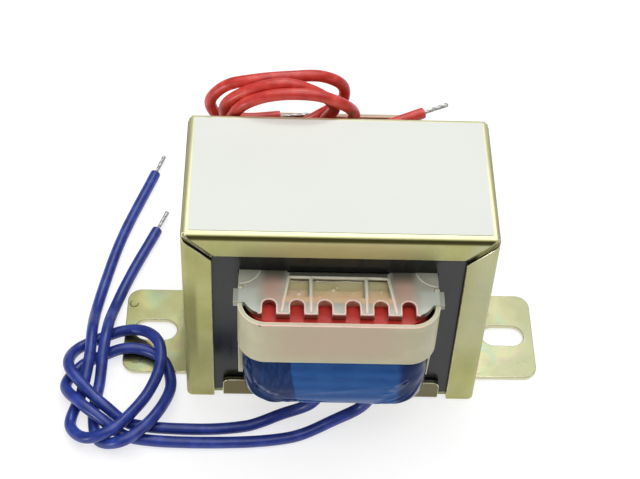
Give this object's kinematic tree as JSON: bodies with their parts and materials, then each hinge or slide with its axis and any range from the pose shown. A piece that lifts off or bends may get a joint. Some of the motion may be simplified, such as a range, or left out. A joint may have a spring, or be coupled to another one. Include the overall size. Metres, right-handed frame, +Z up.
{
  "type": "chassis-mount EI mains transformer with flying leads",
  "caption": "Laminated EI transformer in a folded clamp frame with slotted mounting ears, a split bobbin under push-on shrouds and blue and red flying leads.",
  "frame": {"origin": "middle of the core in plan, on the surface that the mounting strap stands on", "axes": "+X along the mounting strap towards the right ear, -Y towards the face where the blue leads leave, +Z up through the label"},
  "size_m": [0.0991, 0.0828, 0.0554],
  "materials": {
    "zinc_frame": "satin yellow-zinc passivated sheet",
    "zinc_strap": "satin yellow-zinc passivated sheet, iridescent on the ears",
    "core_varnish": "glossy dark varnish over sheet steel",
    "bobbin_nylon": "milky, slightly translucent",
    "shroud_nylon": "milky, slightly translucent",
    "copper_wire": "enamelled winding wire under varnish",
    "red_tape": "glossy film tape",
    "blue_tape": "glossy film tape, wrinkled",
    "label_film": "bare silver-white film",
    "blue_pvc": "satin insulation",
    "red_pvc": "satin insulation",
    "tinned_copper": "tinned strands"
  },
  "bodies": {
    "root": {"clamp_cover": "zinc_frame", "mounting_strap": "zinc_strap", "e_laminations": "core_varnish", "i_laminations": "core_varnish", "bobbin": "bobbin_nylon", "front_shroud": "shroud_nylon", "rear_shroud": "shroud_nylon", "primary_winding": "copper_wire", "primary_tape": "red_tape", "secondary_winding": "copper_wire", "secondary_tape": "blue_tape", "label": "label_film", "blue_lead_left": "blue_pvc", "blue_lead_right": "blue_pvc", "red_lead_left": "red_pvc", "red_lead_right": "red_pvc", "blue_tip_left": "tinned_copper", "blue_tip_right": "tinned_copper", "red_tip_left": "tinned_copper", "red_tip_right": "tinned_copper"}
  },
  "joints": []
}
